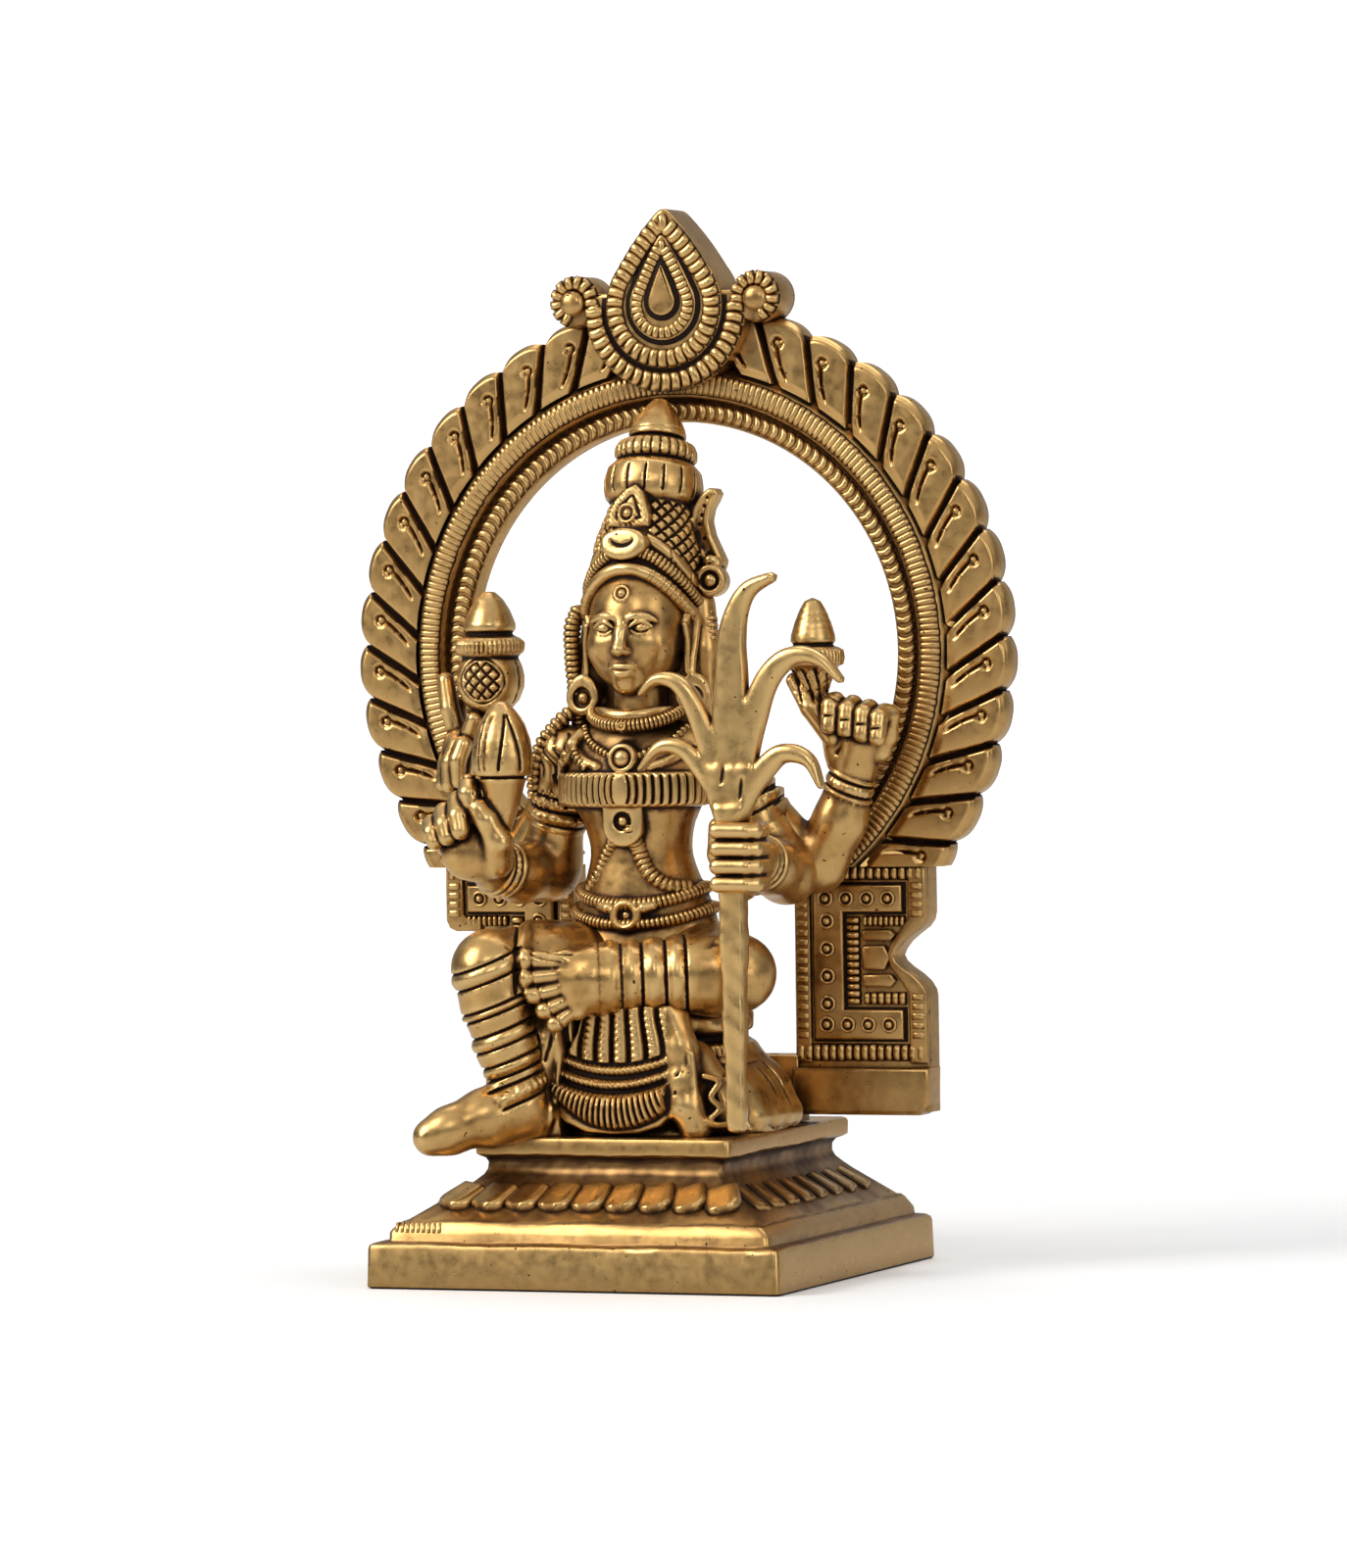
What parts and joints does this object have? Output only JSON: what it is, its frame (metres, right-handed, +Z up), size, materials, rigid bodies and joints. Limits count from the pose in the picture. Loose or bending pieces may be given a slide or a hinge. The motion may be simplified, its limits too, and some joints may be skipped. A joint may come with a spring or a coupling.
{
  "type": "seated goddess figure with arch",
  "caption": "Cast brass four-armed goddess seated on a stepped lotus plinth, sugarcane in one fist, with a round flame-leaf arch behind.",
  "frame": {"origin": "centre of the plinth's underside, on the surface that it stands on", "axes": "+Z up, -Y towards the viewer in front of the figure, +X to that viewer's right"},
  "size_m": [0.1618, 0.102, 0.2446],
  "materials": {
    "cast_brass": "satin polish with dark patina in the recesses",
    "arch_brass": "satin polish with dark patina in the grooves",
    "cane_brass": "brighter satin polish"
  },
  "bodies": {
    "root": {"figure_on_plinth": "cast_brass", "arch": "arch_brass", "sugarcane": "cane_brass"}
  },
  "joints": []
}
